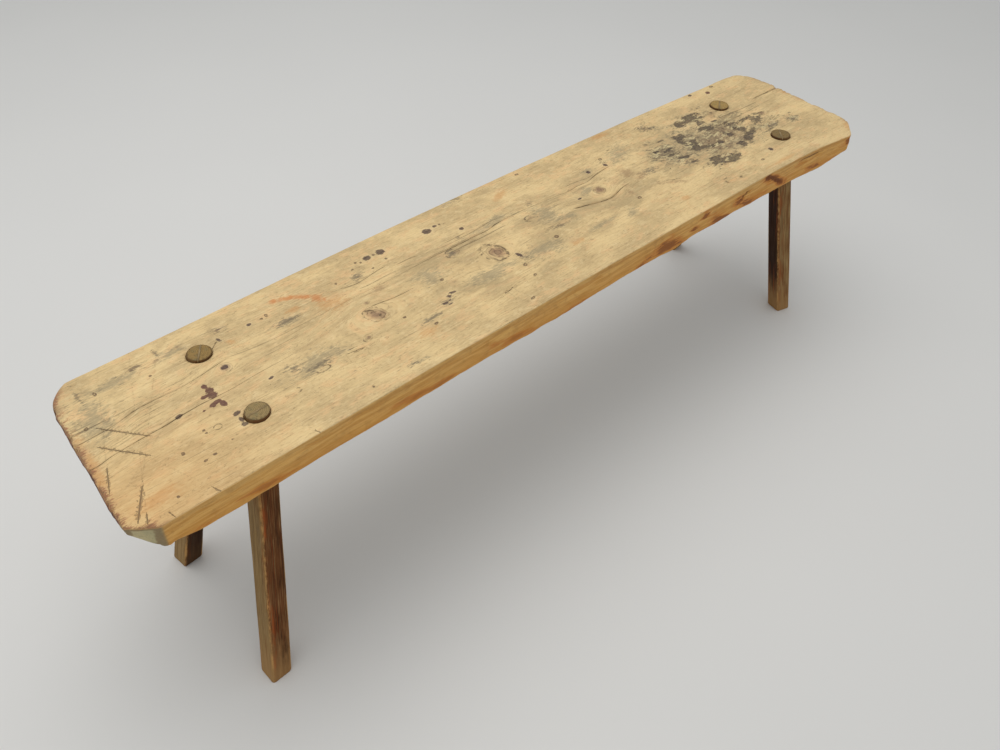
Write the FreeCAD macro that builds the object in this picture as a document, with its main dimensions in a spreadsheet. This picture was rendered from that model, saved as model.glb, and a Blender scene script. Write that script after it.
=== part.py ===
import FreeCAD, Part
import os
import Sketcher

# Backless bench: one thick plank seat on four splayed, hewn legs. Each leg ends in a round
# tenon that passes right through the seat, stands a little proud of it and is held by a wedge.
# Millimetres. X runs along the seat, +Y is the back edge, Z is up and the floor is at zero.
# The layout below is measured from the middle of the seat; every piece is then moved by the
# same amount, so that the origin ends up under the middle of the whole bench.

SIZES = {
    "seat_height": 481,      # floor to seat top
    "seat_thick": 50,
    "edge_round": 3,         # worn top and bottom edges of the plank
    "back_bow": 14,          # rise of the bowed back edge above its two ends
    "front_hollow": 9,       # depth of the hollow front edge behind its two ends
    "corner_round": 30,      # rounding of the back right corner, seen from above
    "end_rake": 10,          # degrees that the left end leans in under the seat
    "leg_side": 37.5,        # across the flats, just under the seat
    "foot_side": 38.5,       # across the flats, on the floor
    "leg_chamfer": 4,
    "tenon_proud": 3,
    "bore_clear": 0.05,      # radial gap round each tenon
    "kerf_depth": 42,
    "kerf_top": 3,           # width of the saw kerf after wedging
    "kerf_bottom": 1,
    "wedge_gap": 0.05,
}

# Corners of the seat outline, in order round the plank.
CORNERS = {
    "front_left_a": (-795, -171),
    "front_left_b": (-833, -141),
    "back_left_a": (-817, 112),
    "back_left_b": (-779, 157),
    "back_right_a": (797, 154),
    "back_right_b": (829, 112),
    "front_right_a": (826, -139),
    "front_right_b": (783, -176),
}

# Each leg: middle of the tenon at seat height, middle of the foot on the floor, turn of the
# square section, tenon diameter and direction of the wedge seen from above.
LEGS = {
    "front_left": {"top_x": -602, "top_y": -77, "foot_x": -705, "foot_y": -161,
                   "turn": 3.3, "tenon": 37, "wedge_turn": 2},
    "back_left": {"top_x": -603, "top_y": 86, "foot_x": -704, "foot_y": 143,
                  "turn": 5.3, "tenon": 37.5, "wedge_turn": 55},
    "front_right": {"top_x": 646, "top_y": -87, "foot_x": 754, "foot_y": -141,
                    "turn": -15.1, "tenon": 39, "wedge_turn": 48},
    "back_right": {"top_x": 651, "top_y": 78, "foot_x": 752, "foot_y": 199,
                   "turn": 8, "tenon": 40, "wedge_turn": 36},
}

doc = FreeCAD.newDocument("bench")
sheet = doc.addObject("Spreadsheet::Sheet", "Dims")
numbers = dict(SIZES)
for corner, (x, y) in CORNERS.items():
    numbers[corner + "_x"] = x
    numbers[corner + "_y"] = y
for leg, values in LEGS.items():
    for key, value in values.items():
        numbers[leg + "_" + key] = value
numbers["middle_x"] = 0
numbers["middle_y"] = 0
for row, (alias, value) in enumerate(numbers.items(), start=1):
    sheet.set("A%d" % row, alias)
    sheet.set("B%d" % row, str(value))
    sheet.setAlias("B%d" % row, alias)
doc.recompute()


def new_body(label):
    """A named piece whose placement moves the bench over its origin."""
    body = doc.addObject("PartDesign::Body", label)
    body.Label = label
    body.setExpression("Placement.Base.x", "-Dims.middle_x")
    body.setExpression("Placement.Base.y", "-Dims.middle_y")
    return body


def level_sketch(body, name, height, x="0", y="0", turn="0"):
    """A sketch lying level at a height, moved and turned in plan; all are cell expressions."""
    sketch = body.newObject("Sketcher::SketchObject", name)
    plane = [item for item in body.Origin.OriginFeatures if item.Role == "XY_Plane"][0]
    sketch.AttachmentSupport = [(plane, "")]
    sketch.MapMode = "FlatFace"
    sketch.setExpression("AttachmentOffset.Base.x", x)
    sketch.setExpression("AttachmentOffset.Base.y", y)
    sketch.setExpression("AttachmentOffset.Base.z", height)
    sketch.setExpression("AttachmentOffset.Rotation.Angle", turn)
    return sketch


def closed_outline(sketch, corners, bends=None):
    """Draw a closed outline through corners given as pairs of cell expressions.

    The bends name the corners that an arc follows: a point it passes near and its radius.
    """
    bends = bends or {}
    points = [FreeCAD.Vector(*[float(sketch.evalExpression(part)) for part in corner], 0)
              for corner in corners]
    starts = []
    for index, point in enumerate(points):
        after = points[(index + 1) % len(points)]
        if index in bends:
            sketch.addGeometry(Part.Arc(point, bends[index][0], after))
        else:
            sketch.addGeometry(Part.LineSegment(point, after))
        starts.append(1 if (sketch.getPoint(index, 1) - point).Length < 0.01 else 2)
    for index, corner in enumerate(corners):
        before = index - 1 if index else len(corners) - 1
        sketch.addConstraint(Sketcher.Constraint(
            "Coincident", before, 3 - starts[before], index, starts[index]))
        for kind, value, expression in zip(("DistanceX", "DistanceY"), points[index], corner):
            number = sketch.addConstraint(Sketcher.Constraint(
                kind, -1, 1, index, starts[index], value))
            sketch.setExpression("Constraints[%d]" % number, expression)
    for index, (_, radius) in bends.items():
        number = sketch.addConstraint(Sketcher.Constraint(
            "Radius", index, sketch.Geometry[index].Radius))
        sketch.setExpression("Constraints[%d]" % number, radius)


def rectangle(sketch, length, width):
    """A rectangle centred on the sketch's origin."""
    signs = [("-", "-"), ("", "-"), ("", ""), ("-", "")]
    closed_outline(sketch, [("%s(%s) / 2" % (along, length), "%s(%s) / 2" % (across, width))
                            for along, across in signs])


def hewn_square(sketch, side):
    """A centred square with its four corners taken off."""
    flat = "((%s) / 2)" % side
    short = "((%s) / 2 - Dims.leg_chamfer)" % side
    corners = [("-" + short, "-" + flat), (short, "-" + flat), (flat, "-" + short),
               (flat, short), (short, flat), ("-" + short, flat), ("-" + flat, short),
               ("-" + flat, "-" + short)]
    closed_outline(sketch, corners)


def loft(body, kind, name, sections):
    """A straight loft between two level sketches."""
    feature = body.newObject("PartDesign::" + kind, name)
    feature.Profile = sections[0]
    feature.Sections = sections[1:]
    feature.Ruled = True
    return feature


def on_axis(leg, axis, height):
    """Expression for where a leg's axis is at a height, along x or y."""
    top = "Dims.%s_top_%s" % (leg, axis)
    foot = "Dims.%s_foot_%s" % (leg, axis)
    return "%s + (%s - %s) * (%s) / Dims.seat_height" % (foot, top, foot, height)


def tilt_along_leg(feature, leg, start):
    """Stand a cylinder on a leg's axis at a height, leaning with the leg."""
    run_x = "(Dims.{0}_top_x - Dims.{0}_foot_x)".format(leg)
    run_y = "(Dims.{0}_top_y - Dims.{0}_foot_y)".format(leg)
    # The axis cells are read one at a time, so the rotation starts from a real axis and angle.
    feature.Placement.Rotation = FreeCAD.Rotation(FreeCAD.Vector(1, 1, 0), 10)
    feature.setExpression("Placement.Base.x", on_axis(leg, "x", start))
    feature.setExpression("Placement.Base.y", on_axis(leg, "y", start))
    feature.setExpression("Placement.Base.z", start)
    feature.setExpression("Placement.Rotation.Axis.x", "-" + run_y)
    feature.setExpression("Placement.Rotation.Axis.y", run_x)
    feature.setExpression("Placement.Rotation.Axis.z", "0")
    lean = "atan(sqrt(%s ^ 2 + %s ^ 2) / Dims.seat_height)" % (run_x, run_y)
    feature.setExpression("Placement.Rotation.Angle", lean)


UNDERSIDE = "Dims.seat_height - Dims.seat_thick"
TENON_END = "Dims.seat_height + Dims.tenon_proud"
KERF_END = TENON_END + " - Dims.kerf_depth"


def seat_outline(sketch):
    """Plank outline with straight ends, clipped corners, a bowed back and a hollow front."""
    order = list(CORNERS)
    corners = [("Dims.%s_x" % name, "Dims.%s_y" % name) for name in order]

    def bow_radius(left, right, rise):
        half = "((Dims.%s_x - Dims.%s_x) / 2)" % (right, left)
        return "(%s ^ 2 + Dims.%s ^ 2) / (2 * Dims.%s)" % (half, rise, rise)

    bends = {
        "back_left_b": (FreeCAD.Vector(0, 169.5),
                        bow_radius("back_left_b", "back_right_a", "back_bow")),
        "front_right_b": (FreeCAD.Vector(0, -164.5),
                          bow_radius("front_left_a", "front_right_b", "front_hollow")),
    }
    closed_outline(sketch, corners, {order.index(name): bend for name, bend in bends.items()})


def face_names(feature, wanted):
    """Names of a feature's faces whose bounding box is wanted."""
    return ["Face%d" % number for number, face in enumerate(feature.Shape.Faces, start=1)
            if wanted(face.BoundBox)]


def rounded(body, name, feature, radius, wanted):
    """Round every edge of a feature whose bounding box is wanted."""
    edges = ["Edge%d" % number for number, edge in enumerate(feature.Shape.Edges, start=1)
             if wanted(edge.BoundBox)]
    fillet = body.newObject("PartDesign::Fillet", name)
    fillet.Base = (feature, edges)
    fillet.setExpression("Radius", radius)
    doc.recompute()
    return fillet


def make_seat():
    body = new_body("seat_plank")
    outline = level_sketch(body, "SeatOutline", UNDERSIDE)
    seat_outline(outline)
    plank = body.newObject("PartDesign::Pad", "Plank")
    plank.Profile = outline
    plank.setExpression("Length", "Dims.seat_thick")
    doc.recompute()
    raked = body.newObject("PartDesign::Draft", "RakedEnd")
    raked.Base = (plank, face_names(plank, lambda box: box.ZLength > 1 and box.XMax < -770))
    raked.NeutralPlane = (plank, face_names(plank, lambda box: box.ZMin > SIZES["seat_height"] - 1))
    raked.setExpression("Angle", "Dims.end_rake")
    raked.Reversed = True
    doc.recompute()
    corner = FreeCAD.BoundBox(780, 100, 0, 850, 180, 500)
    smooth = rounded(body, "RoundCorner", raked, "Dims.corner_round",
                     lambda box: box.ZLength > 1 and corner.isInside(box))
    rounded(body, "WornEdges", smooth, "Dims.edge_round", lambda box: box.ZLength < 1e-6)
    for leg in LEGS:
        bore = body.newObject("PartDesign::SubtractiveCylinder", "Bore_" + leg)
        bore.setExpression("Radius", "Dims.%s_tenon / 2 + Dims.bore_clear" % leg)
        bore.setExpression("Height", "3 * Dims.seat_thick")
        tilt_along_leg(bore, leg, UNDERSIDE + " - Dims.seat_thick")
    return body


def make_leg(leg):
    body = new_body("leg_" + leg)
    turn = "Dims.%s_turn" % leg
    tenon = body.newObject("PartDesign::AdditiveCylinder", "Tenon_" + leg)
    tenon.setExpression("Radius", "Dims.%s_tenon / 2" % leg)
    tenon.setExpression("Height", "3 * Dims.seat_thick")
    tilt_along_leg(tenon, leg, UNDERSIDE + " - Dims.seat_thick")
    trims = {"End": (TENON_END, True), "Shoulder": (UNDERSIDE, False)}
    for name, (height, upwards) in trims.items():
        waste = level_sketch(body, name + "Plane_" + leg, height,
                             on_axis(leg, "x", height), on_axis(leg, "y", height))
        rectangle(waste, "4 * Dims.seat_thick", "4 * Dims.seat_thick")
        trim = body.newObject("PartDesign::Pocket", name + "Trim_" + leg)
        trim.Profile = waste
        trim.setExpression("Length", "3 * Dims.seat_thick")
        trim.Reversed = upwards
    foot = level_sketch(body, "Foot_" + leg, "0", "Dims.%s_foot_x" % leg,
                        "Dims.%s_foot_y" % leg, turn)
    hewn_square(foot, "Dims.foot_side")
    neck = level_sketch(body, "Neck_" + leg, UNDERSIDE, on_axis(leg, "x", UNDERSIDE),
                        on_axis(leg, "y", UNDERSIDE), turn)
    hewn_square(neck, "Dims.leg_side")
    loft(body, "AdditiveLoft", "Shaft_" + leg, [foot, neck])
    wedge_sections(body, leg, "SubtractiveLoft", "Kerf", "2 * Dims.%s_tenon" % leg, "0")
    return body


def wedge_sections(body, leg, kind, name, length, gap):
    """The tapered slot in a tenon, or with a gap the wedge that fills it."""
    sections = []
    for height, width in ((TENON_END, "Dims.kerf_top"), (KERF_END, "Dims.kerf_bottom")):
        sketch = level_sketch(body, "%s%d_%s" % (name, len(sections), leg), height,
                              on_axis(leg, "x", height), on_axis(leg, "y", height),
                              "Dims.%s_wedge_turn" % leg)
        rectangle(sketch, length, "%s - 2 * (%s)" % (width, gap))
        sections.append(sketch)
    return loft(body, kind, name + "_" + leg, sections)


def make_wedge(leg):
    body = new_body("wedge_" + leg)
    wedge_sections(body, leg, "AdditiveLoft", "Wedge", "Dims.%s_tenon - 0.6" % leg,
                   "Dims.wedge_gap")
    return body


pieces = [make_seat()]
pieces += [make_leg(leg) for leg in LEGS]
pieces += [make_wedge(leg) for leg in LEGS]
doc.recompute()

whole = FreeCAD.BoundBox()
for piece in pieces:
    whole.add(piece.Shape.optimalBoundingBox())
for alias, middle in (("middle_x", whole.Center.x), ("middle_y", whole.Center.y)):
    sheet.set(alias, "%.3f" % middle)
doc.recompute()

for item in doc.Objects:
    if "Invalid" in item.State or "Error" in item.State:
        raise RuntimeError("%s did not build: %s" % (item.Label, item.State))
os.makedirs("parts", exist_ok=True)
for piece in pieces:
    shape = piece.Shape
    if shape.isNull() or not shape.isValid() or len(shape.Solids) != 1:
        raise RuntimeError("%s is not one sound solid" % piece.Label)
    shape.exportStep("parts/%s.step" % piece.Label)
    print(piece.Label, "volume %.0f mm3" % shape.Volume, shape.optimalBoundingBox())
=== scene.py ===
import math

import bpy
import numpy as np
from mathutils import Matrix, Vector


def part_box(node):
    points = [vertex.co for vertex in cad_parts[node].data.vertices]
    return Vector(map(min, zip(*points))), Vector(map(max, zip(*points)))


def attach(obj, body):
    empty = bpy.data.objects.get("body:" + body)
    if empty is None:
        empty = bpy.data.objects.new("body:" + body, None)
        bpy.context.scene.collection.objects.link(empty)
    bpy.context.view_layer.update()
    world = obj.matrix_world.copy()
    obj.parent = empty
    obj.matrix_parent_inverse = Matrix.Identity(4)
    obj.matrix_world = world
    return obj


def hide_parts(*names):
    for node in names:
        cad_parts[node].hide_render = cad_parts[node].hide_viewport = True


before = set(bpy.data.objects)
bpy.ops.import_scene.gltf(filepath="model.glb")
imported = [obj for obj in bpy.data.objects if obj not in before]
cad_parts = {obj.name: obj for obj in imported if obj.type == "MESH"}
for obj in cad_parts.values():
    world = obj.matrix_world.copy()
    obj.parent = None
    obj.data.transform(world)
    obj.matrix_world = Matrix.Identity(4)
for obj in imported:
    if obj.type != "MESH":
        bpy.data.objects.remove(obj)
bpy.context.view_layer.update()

# Looks of an old backless bench: a bare, weathered pine plank with cracks, knots, knife cuts and
# stains, standing on four hewn legs whose round wedged tenons come through the seat.
# Places are in millimetres in the bench's own layout, measured from the middle of the seat:
# x runs along the seat, y towards the back edge and z up from the floor. SHIFT and MM turn them
# into the frame's metres.

MM = 0.001
SEAT_LOW, SEAT_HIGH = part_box("seat_plank")
LEFT_TIP, RIGHT_TIP, FRONT_TIP = -833, 829, -176
SHIFT = np.array([SEAT_LOW.x / MM - LEFT_TIP, SEAT_LOW.y / MM - FRONT_TIP, 0])
TOP, UNDER = SEAT_HIGH.z / MM, SEAT_LOW.z / MM
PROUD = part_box("leg_front_left")[1].z / MM

# Each leg: where its middle is at seat height and on the floor, the turn of its square section,
# its tenon's diameter, the direction of its wedge and the gap left round it in its hole. The next
# key says how dark its -x, -y, +x and +y faces are: partly weathering, partly painted shade on
# faces in shadow. "end" is the colour of its tenon's end, "glow" how red the grain beside its front
# arris is and "foot_wear" how pale its foot is.
LEGS = {
    "front_left": dict(top=(-602, -77), foot=(-705, -161), turn=3.3, tenon=37, wedge=2, gap=0.8,
                       age_and_shade=(0.12, 0.72, 0.80, 0.6), end=(160, 136, 92), glow=1.0, foot_wear=0.7),
    "back_left": dict(top=(-603, 86), foot=(-704, 143), turn=5.3, tenon=37.5, wedge=55, gap=0.6,
                      age_and_shade=(0.02, 1.2, 0.7, 0.5), end=(156, 126, 76), glow=0.2, foot_wear=0.12),
    "front_right": dict(top=(646, -87), foot=(754, -141), turn=-15.1, tenon=39, wedge=48, gap=1.7,
                        age_and_shade=(1.15, 0.3, 0.55, 0.6), end=(142, 116, 74), glow=0.6, foot_wear=0.8),
    "back_right": dict(top=(651, 78), foot=(752, 199), turn=8, tenon=40, wedge=36, gap=1.0,
                       age_and_shade=(0.9, 0.6, 0.5, 0.4), end=(178, 146, 88), glow=0.3, foot_wear=0.5),
}


# ------------------------------------------------------------------ shapes from formulas

def through(points):
    """A smooth curve through points.

    Between two points it is the cubic that leaves and arrives with the mean slope of the
    stretches beside each point; before the first and after the last it stays level.
    """
    xs, ys = np.array(points, float).T
    slopes = np.gradient(ys, xs)

    def curve(x):
        x = np.clip(x, xs[0], xs[-1])
        k = np.clip(np.searchsorted(xs, x, side="right") - 1, 0, len(xs) - 2)
        step = xs[k + 1] - xs[k]
        u = (x - xs[k]) / step
        rise = (1 + 2 * u) * (1 - u) ** 2 * ys[k] + u * u * (3 - 2 * u) * ys[k + 1]
        return rise + step * (u * (1 - u) ** 2 * slopes[k] + u * u * (u - 1) * slopes[k + 1])

    return curve


def lumps(seed, *axes):
    """Smooth lumps from -1 to 1: random heights at whole numbers, joined by cubic steps."""
    size = 64
    heights = np.random.RandomState(seed).uniform(-1, 1, (size,) * len(axes))
    cells = [np.floor(axis).astype(int) for axis in axes]
    parts = [axis - cell for axis, cell in zip(axes, cells)]
    parts = [part * part * (3 - 2 * part) for part in parts]
    total = 0
    for corner in np.ndindex(*(2,) * len(axes)):
        weight = 1
        for part, far in zip(parts, corner):
            weight = weight * (part if far else 1 - part)
        spot = tuple((cell + far) % size for cell, far in zip(cells, corner))
        total = total + weight * heights[spot]
    return total


def rough(seed, *axes):
    """Lumps with two finer layers on them, each half as wide and half as high."""
    return sum(lumps(seed + k, *(axis * 2 ** k for axis in axes)) / 2 ** k for k in range(3)) / 1.5


def soft_step(value, low, high):
    """0 below low, 1 above high, and a cubic step between."""
    u = np.clip((value - low) / (high - low), 0, 1)
    return u * u * (3 - 2 * u)


def crowded(count, low, high, crowds):
    """Count positions from low to high, closer together near each crowd's middle.

    The density is 1 plus, for each crowd, its strength times a bell of its width.
    """
    line = np.linspace(low, high, 8001)
    density = np.ones_like(line)
    for middle, width, strength in crowds:
        density += strength * np.exp(-((line - middle) / width) ** 2)
    total = np.cumsum(density) - density[0]
    return np.interp(np.linspace(0, total[-1], count), total, line)


def make_piece(name, points, faces):
    """A mesh object from points in millimetres and arrays of faces, one a row."""
    mesh = bpy.data.meshes.new(name)
    corners = np.concatenate([face.ravel() for face in faces])
    sizes = np.concatenate([np.full(len(face), face.shape[1]) for face in faces])
    mesh.vertices.add(len(points))
    mesh.vertices.foreach_set("co", ((points + SHIFT) * MM).ravel())
    mesh.loops.add(len(corners))
    mesh.loops.foreach_set("vertex_index", corners.astype(np.int32))
    mesh.polygons.add(len(sizes))
    mesh.polygons.foreach_set("loop_start", (np.cumsum(sizes) - sizes).astype(np.int32))
    mesh.update(calc_edges=True)
    mesh.validate()
    piece = bpy.data.objects.new(name, mesh)
    bpy.context.scene.collection.objects.link(piece)
    return piece


def smooth(piece):
    """Shade every face of a piece smooth."""
    piece.data.polygons.foreach_set("use_smooth", np.ones(len(piece.data.polygons), bool))


def grid_faces(numbers):
    """Four-cornered faces over a grid of vertex numbers, facing up for rows along y."""
    return np.stack([numbers[:-1, :-1], numbers[1:, :-1], numbers[1:, 1:], numbers[:-1, 1:]],
                    -1).reshape(-1, 4)


def ring_faces(rings):
    """Four-cornered faces between closed rings, outside for rings that run round and down."""
    after = np.roll(rings, -1, axis=1)
    return np.stack([rings[:-1], rings[1:], after[1:], after[:-1]], -1).reshape(-1, 4)


def make_tube(name, rings, tips):
    """A closed piece: rings of points, the highest ring first, and a point to close each end."""
    numbers = np.arange(len(rings) * len(rings[0])).reshape(len(rings), -1)
    high, low, tip = numbers[0], numbers[-1], np.full(len(rings[0]), numbers.size)
    fans = [np.stack([high, np.roll(high, -1), tip], -1),
            np.stack([np.roll(low, -1), low, tip + 1], -1)]
    return make_piece(name, np.concatenate([*rings, *tips]), [ring_faces(numbers)] + fans)


def cut(piece, cutters):
    """Take closed cutters out of a piece and remove them."""
    for cutter in cutters:
        modifier = piece.modifiers.new("cut", "BOOLEAN")
        modifier.operation = "DIFFERENCE"
        modifier.solver = "MANIFOLD"
        modifier.object = cutter
    bpy.context.view_layer.update()
    solid = piece.evaluated_get(bpy.context.evaluated_depsgraph_get())
    mesh = bpy.data.meshes.new_from_object(solid)
    piece.modifiers.clear()
    plain = piece.data
    piece.data = mesh
    bpy.data.meshes.remove(plain)
    mesh.name = piece.name
    for cutter in cutters:
        bpy.data.meshes.remove(cutter.data)


def layout_of(piece):
    """A piece's vertices in millimetres in the layout, and its normals."""
    count = len(piece.data.vertices)
    points = np.empty(count * 3, np.float32)
    piece.data.vertices.foreach_get("co", points)
    normals = np.empty(count * 3, np.float32)
    piece.data.vertex_normals.foreach_get("vector", normals)
    return points.reshape(-1, 3) / MM - SHIFT, normals.reshape(-1, 3)


def keep_field(piece, name, *columns):
    """Store up to four numbers a vertex, for the piece's material to read."""
    values = np.zeros((len(piece.data.vertices), 4), np.float32)
    for index, column in enumerate(columns):
        values[:, index] = column
    field = piece.data.attributes.new(name, "FLOAT_COLOR", "POINT")
    field.data.foreach_set("color", values.ravel())


# ------------------------------------------------------------------ what the plank went through

FRONT = through([
    (-833, -143), (-831, -145), (-802, -168), (-799, -170), (-795, -170.7), (-780, -170.5),
    (-600, -167.5), (-300, -165), (0, -164), (300, -164.5), (560, -166.5), (700, -170.5),
    (765, -174.5), (780, -175), (785, -173), (803, -159), (823, -141), (827, -136),
])
BACK = through([
    (-817, 103), (-813, 118), (-807, 132), (-804, 136), (-785, 154), (-780, 157), (-774, 157.5),
    (-740, 157.8), (-600, 161), (-400, 166), (-150, 169.5), (30, 170), (250, 168), (500, 163.5),
    (700, 156.5), (785, 153.5), (806, 149), (819, 135), (826, 119), (829, 104),
])
LEFT = through([
    (-143, -833), (-120, -832.6), (-94, -831.5), (-64, -829), (-35, -826), (0, -824.5), (35, -822),
    (75, -818.5), (103, -817),
])
RIGHT = through([
    (-136, 827), (-112, 827.5), (-100, 826), (-92, 822), (-84, 820.5), (-76, 822.5), (-62, 822),
    (-52, 820.5), (-38, 820.5), (-28, 823.5), (-10, 825.5), (20, 826.5), (44, 828.5), (48.5, 826),
    (50.5, 826), (55, 829), (80, 830), (104, 829),
])
FRONT_LOW = through([
    (-833, 468), (-822, 456), (-808, 445), (-795, 440), (-775, 436), (-735, 431), (-650, 430),
    (-450, 430), (-330, 429), (-225, 430), (-150, 427.5), (-90, 427), (-45, 428), (20, 430),
    (120, 431.5), (165, 431), (195, 429), (216, 427.5), (240, 429), (262, 432), (305, 432),
    (350, 430.5), (400, 432.5), (440, 431), (520, 430), (600, 428), (650, 424.5), (680, 423.5),
    (715, 425.5), (745, 429), (775, 434), (800, 440), (815, 446), (827, 450),
])
LEFT_LOW = through([(-143, 468), (-128, 457), (-100, 446), (-50, 438), (0, 435), (103, 434)])

# Splits along the grain: x, y and half the width in millimetres, which falls to nothing between
# one split and the next on the same line.
SPLITS = [
    [(-819, 27, .5), (-797, 28, .55), (-772, 30, .5), (-755, 33, .45), (-728, 39.7, .8),
     (-707, 41, .75), (-650, 40, .35), (-610, 46, .55), (-590, 49.5, .6), (-572, 51, 0),
     (-545, 48, 0), (-515, 45, .3), (-450, 45, .35), (-400, 46, .1), (-250, 48, .15),
     (-166, 51.5, .7), (-128, 50.6, 1), (-87, 51.5, 1.1), (-52, 51.5, 1), (-28, 56, .9),
     (-5, 57, .6), (39, 56.5, .55), (80, 53, .4), (120, 50, .3), (156, 48, .8), (171, 50, .9),
     (203, 48.5, .5), (230, 55, .8), (262, 59.4, .9), (284, 60, 0), (400, 56, 0), (600, 49, 0),
     (732, 50, 0), (740, 50.5, .5), (753, 51.5, .9), (782, 51, 1.4), (806, 50.6, 1.6),
     (830, 49.4, 2.0)],
    [(-827, -25, .6), (-810, -25, .7), (-797, -22, .6), (-763, -18, .5), (-733, -16, .7),
     (-701, -14, .8), (-688, -12, 1.0), (-670, -11, .4), (-654, -10, .4), (-604, -11, .2),
     (-566, -8, .2), (-507, -6, .1), (-480, -4, 0), (-345, 10, 0), (-336, 10, .4),
     (-299, 5, .6), (-269, 4, .3), (-255, 4, 0), (60, -2, 0), (114, -1.5, 0), (120, -3, 1.2),
     (145, -9.4, 1.7), (171, -17, 1.8), (198, -20, 1.7), (215, -16, 1.3), (233, -11, .9),
     (253, -8, .4), (262, -7, 0), (500, -10, 0), (829, -12, 0)],
    [(-819, 49, .35), (-795, 48, .5), (-740, 47, .25), (-700, 50, 0), (-352, 79, 0),
     (-346, 78, .5), (-322, 74, .8), (-299, 77, .7), (-263, 82, .5), (-255, 82, 0),
     (-242, 73, 0), (-237, 73, .45), (-205, 72, .6), (-195, 70, 0), (-130, 62, 0),
     (-60, 65, .5), (-30, 68, .5), (-8, 66, 0), (150, 60, 0), (160, 62, .4), (225, 58, .3),
     (240, 62, 0), (578, 44, 0), (588, 44, .45), (650, 40, .5), (723, 37, .4), (742, 37, 0)],
    [(-819, 60, 0), (-330, 60, 0), (-319, 59, .4), (-262, 60, .4), (-252, 60, 0), (-160, 42, 0),
     (-93, 39.7, .5), (-72, 39.7, .7), (-28, 41, .4), (-16, 41, 0), (568, 24, 0),
     (576, 23.5, .45), (718, 23.5, .4), (732, 24, 0)],
]
SPLIT_LINES = [(through([(x, y) for x, y, _ in line]), np.array(line)) for line in SPLITS]

# Knife and hatchet cuts: from, to and half the width. Cuts in one group lie well apart.
CUTS = [
    [((-785, 43), (-733, -22), 1.5), ((-799, -138), (-807, -158), 1.4),
     ((-717, -153), (-711, -169), 1.0), ((-152, -105), (-134, -101), 1.2)],
    [((-799, 9), (-750, -54), 1.8), ((-560, -156), (-556, -168), 0.7),
     ((315, 103), (332, 107), 0.8)],
    [((-803, -33), (-821, -80), 1.3), ((-778, -154), (-775, -170), 0.9),
     ((-437, -57), (-403, -62), 0.8)],
    [((-782, -92), (-816, -149), 2.3), ((-586, 82), (-568, 96), 0.9),
     ((320, -46), (352, -62), 0.7)],
]

# Stains and marks on the seat: middle, half-lengths and, where it isn't 0, the turn in degrees.
DARK_SPOTS = [
    (-268, 121, 8.5, 7.5), (-240, 121, 9, 8.5), (-140, 117, 10.5, 8.5, -8), (-291, 122, 2.8, 2.6),
    (-284, 117, 2.4, 2.4), (-254, 121, 3.2, 3), (-306, 110, 2.3, 2.8, -30), (-277, 91, 2.8, 2.3),
    (-244, 99, 2.8, 3, 30), (-119, 121, 5.4, 4.2), (-109, 120, 2.8, 2.4), (-102, 117, 2, 1.8),
    (-87, 84, 5.4, 5), (-349, 96, 2.2, 3, -30), (-624, -59, 7, 4.6, 8), (-625, -73, 4, 6.5),
    (-626, -84, 5.6, 5), (-688, -12, 6.5, 4.2, 15), (-795, 48.5, 3.2, 3.2), (-589, 36, 6.5, 6),
    (-565, 97, 3, 8, 24), (-511, 98, 5.2, 3.6, 10), (-489, 98, 3, 2.6), (-479, 100, 2.8, 4.4),
    (-549, -28, 5.5, 3, 5), (-675, -58, 2.6, 2.3), (-675, -65, 2.4, 2.2), (-717, -79, 2.6, 3.2),
    (-685, -107, 3.4, 2.4, -20), (-653, -98, 2.2, 2), (-700, -109, 3.2, 2.2), (-757, 106, 2.6, 4.5),
    (-680, 90, 2.4, 2.2), (-757, -142, 2.2, 2.4), (-245, -58, 9, 1.7, -4),
    (-243, -62.5, 8, 1.6, -6), (-239, -67, 6, 1.5), (-231, -57, 6, 1.7, 60),
    (-228, -50, 5.5, 3, -20), (-217, -46, 8.5, 3.4, -16), (-62, -41, 4.2, 9, 12),
    (-316, -46, 3.2, 2.6), (-209, -9, 4, 3, 10), (-287, -90, 4.5, 2.4), (-74, -69, 4, 3.4),
    (-81, -100, 4, 2.8), (-127, -143, 5, 2.4, 5), (-447, -141, 3, 2.2), (236, -55, 4.6, 4),
    (228, 71, 5, 5.6), (274, 68, 4.8, 5.4, 30), (282, 90, 4.6, 3.4, 30), (146, 15, 6, 2.8),
    (26, -44, 4.6, 4), (114, 155, 4.6, 2.6), (395, 71, 6, 6), (556, 82, 34, 17, -4),
    (514, 79, 11, 13), (557, 56, 13, 10), (585, 41, 14, 8, 5), (545, 33, 20, 12, -20),
    (474, 47, 18, 11, 10), (461, 21, 12, 13), (471, 0, 18, 19), (482, 13, 12, 10, -30),
    (492, -18, 20, 8, -20), (566, -12, 11, 13, 20), (602, 2, 17, 17), (605, -16, 13, 13),
    (663, -6, 15, 17), (650, 6, 26, 6, 6), (690, 6, 14, 5, -12), (590, -49, 27, 11, 32),
    (557, -56, 15, 10), (466, -67, 22, 17), (494, -79, 25, 14, 8), (622, -34, 14, 8, 20),
    (582, -108, 5.4, 7, -20), (535, -122, 4.4, 3), (640, 151, 6, 4.2), (712, 148, 5, 3.4),
    (523, -24, 14, 6), (430, 60, 14, 3.2), (420, 26, 20, 4, 8), (405, 8, 16, 4, -12),
    (417, -14, 15, 7, -20), (390, 36, 12, 6, 20), (428, -38, 12, 6, -24), (610, -36, 12, 3, 20),
]
RESIN = [
    (-452, 123, 11, 9), (-434, 117, 28, 7.5, -20), (-410, 103, 26, 8.5, -38), (-394, 86, 12, 13),
    (-386, 74, 6, 10),
]
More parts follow.
